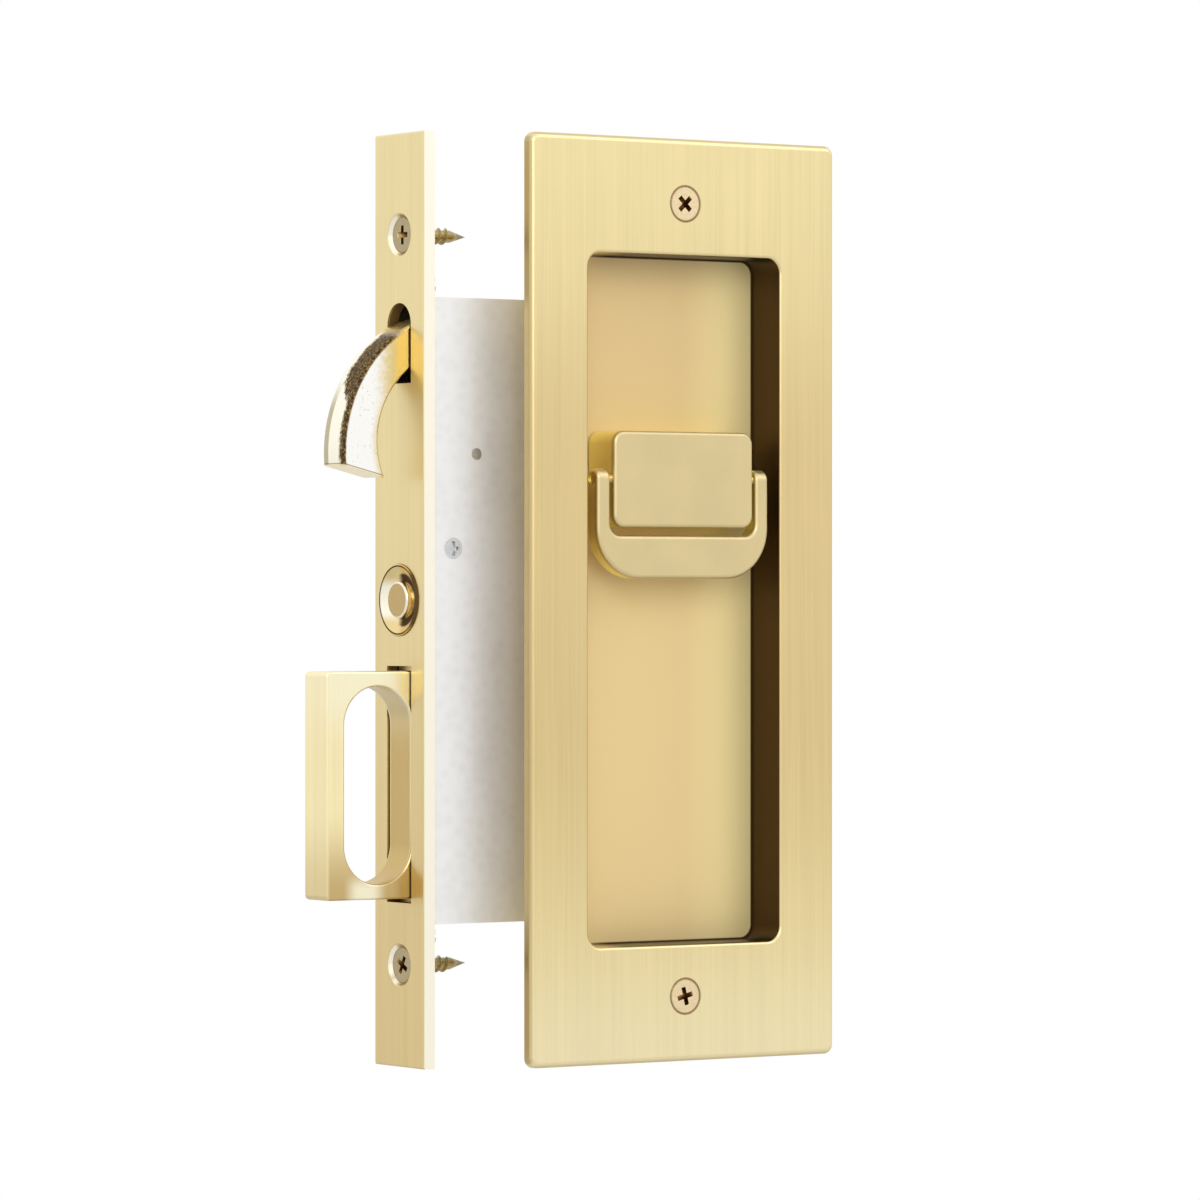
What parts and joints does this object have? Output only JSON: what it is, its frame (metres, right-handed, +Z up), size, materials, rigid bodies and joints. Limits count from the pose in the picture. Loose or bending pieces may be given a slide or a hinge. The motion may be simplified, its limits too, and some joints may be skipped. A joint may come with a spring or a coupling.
{
  "type": "pocket door lockset",
  "caption": "Pocket door lockset: edge plate with hook bolt, release button and slide-out finger pull on a mortise case, and a recessed flush pull with a folding privacy turn.",
  "frame": {"origin": "middle of the edge plate's back face, where it seats on the door's edge", "axes": "+X into the door, +Z up, -Y out of the door face that carries the flush pull"},
  "size_m": [0.1152, 0.0296, 0.1906],
  "materials": {
    "satin_brass": "satin, brushed upright",
    "turn_brass": "matte satin",
    "polished_brass": "polished",
    "button_brass": "matte satin",
    "hook_brass": "polished sides, rough back",
    "screw_brass": "bright",
    "case_steel": "bright zinc plate",
    "inner_steel": "bright",
    "spring_steel": "drawn wire"
  },
  "bodies": {
    "lockset": {"edge_plate": "satin_brass", "edge_plate_screws": "screw_brass", "lock_case": "case_steel", "case_cover": "case_steel", "case_posts": "inner_steel", "cover_screws": "inner_steel", "flange_screws": "inner_steel", "hook_pivot": "inner_steel", "catch_posts": "inner_steel", "spring_posts": "inner_steel", "detent_spring": "spring_steel", "catch_spring": "spring_steel", "rod_guide": "case_steel", "button_bushing": "polished_brass", "button_guide": "case_steel", "button_spring": "spring_steel", "pull_spring": "spring_steel", "flush_pull": "satin_brass", "flush_pull_screws": "screw_brass"},
    "turn": {"turn_boss": "turn_brass", "spindle": "inner_steel", "hub": "inner_steel", "crank_pin": "inner_steel", "turn_ring": "inner_steel", "bail_pin": "polished_brass"},
    "bail": {"turn_bail": "turn_brass"},
    "hook": {"hook_bolt": "hook_brass", "tail_pin": "inner_steel"},
    "link": {"drive_link": "inner_steel"},
    "pull": {"edge_pull": "satin_brass", "pull_rod": "inner_steel"},
    "button": {"release_button": "button_brass", "cam_pin": "inner_steel"},
    "catch": {"catch_slide": "inner_steel"}
  },
  "joints": [
    {"name": "turn_spin", "type": "hinge", "parent": "lockset", "child": "turn", "pos_m": [0.05455, 0, 0.022], "axis": [0, 1, 0], "range_deg": [0, 70], "deforming": ["detent_spring"]},
    {"name": "hook_swing", "type": "hinge", "parent": "lockset", "child": "hook", "pos_m": [0.0112, 0, 0.0298], "axis": [0, 1, 0], "range_deg": [0, 70]},
    {"name": "link_swing", "type": "hinge", "parent": "turn", "child": "link", "pos_m": [0.06109, 0, 0.01194], "axis": [0, 1, 0], "range_deg": [-70, 0]},
    {"name": "bail_lift", "type": "hinge", "parent": "turn", "child": "bail", "pos_m": [0.05455, -0.0175, 0.0249], "axis": [-1, 0, 0], "range_deg": [0, 90]},
    {"name": "pull_slide", "type": "slide", "parent": "lockset", "child": "pull", "axis": [1, 0, 0], "range_m": [0, 0.02], "stiffness_N_per_m": 80, "springref_m": -0.03, "deforming": ["pull_spring"]},
    {"name": "button_press", "type": "slide", "parent": "lockset", "child": "button", "axis": [1, 0, 0], "range_m": [0, 0.0025], "stiffness_N_per_m": 400, "springref_m": -0.002, "deforming": ["button_spring"]},
    {"name": "catch_lift", "type": "slide", "parent": "lockset", "child": "catch", "axis": [0, 0, 1], "range_m": [0, 0.0025], "deforming": ["catch_spring"]}
  ],
  "couplings": [
    {"joint": "hook_swing", "follows": "turn_spin", "ratio": 1},
    {"joint": "link_swing", "follows": "turn_spin", "ratio": -1},
    {"joint": "catch_lift", "follows": "button_press", "ratio": 1}
  ]
}
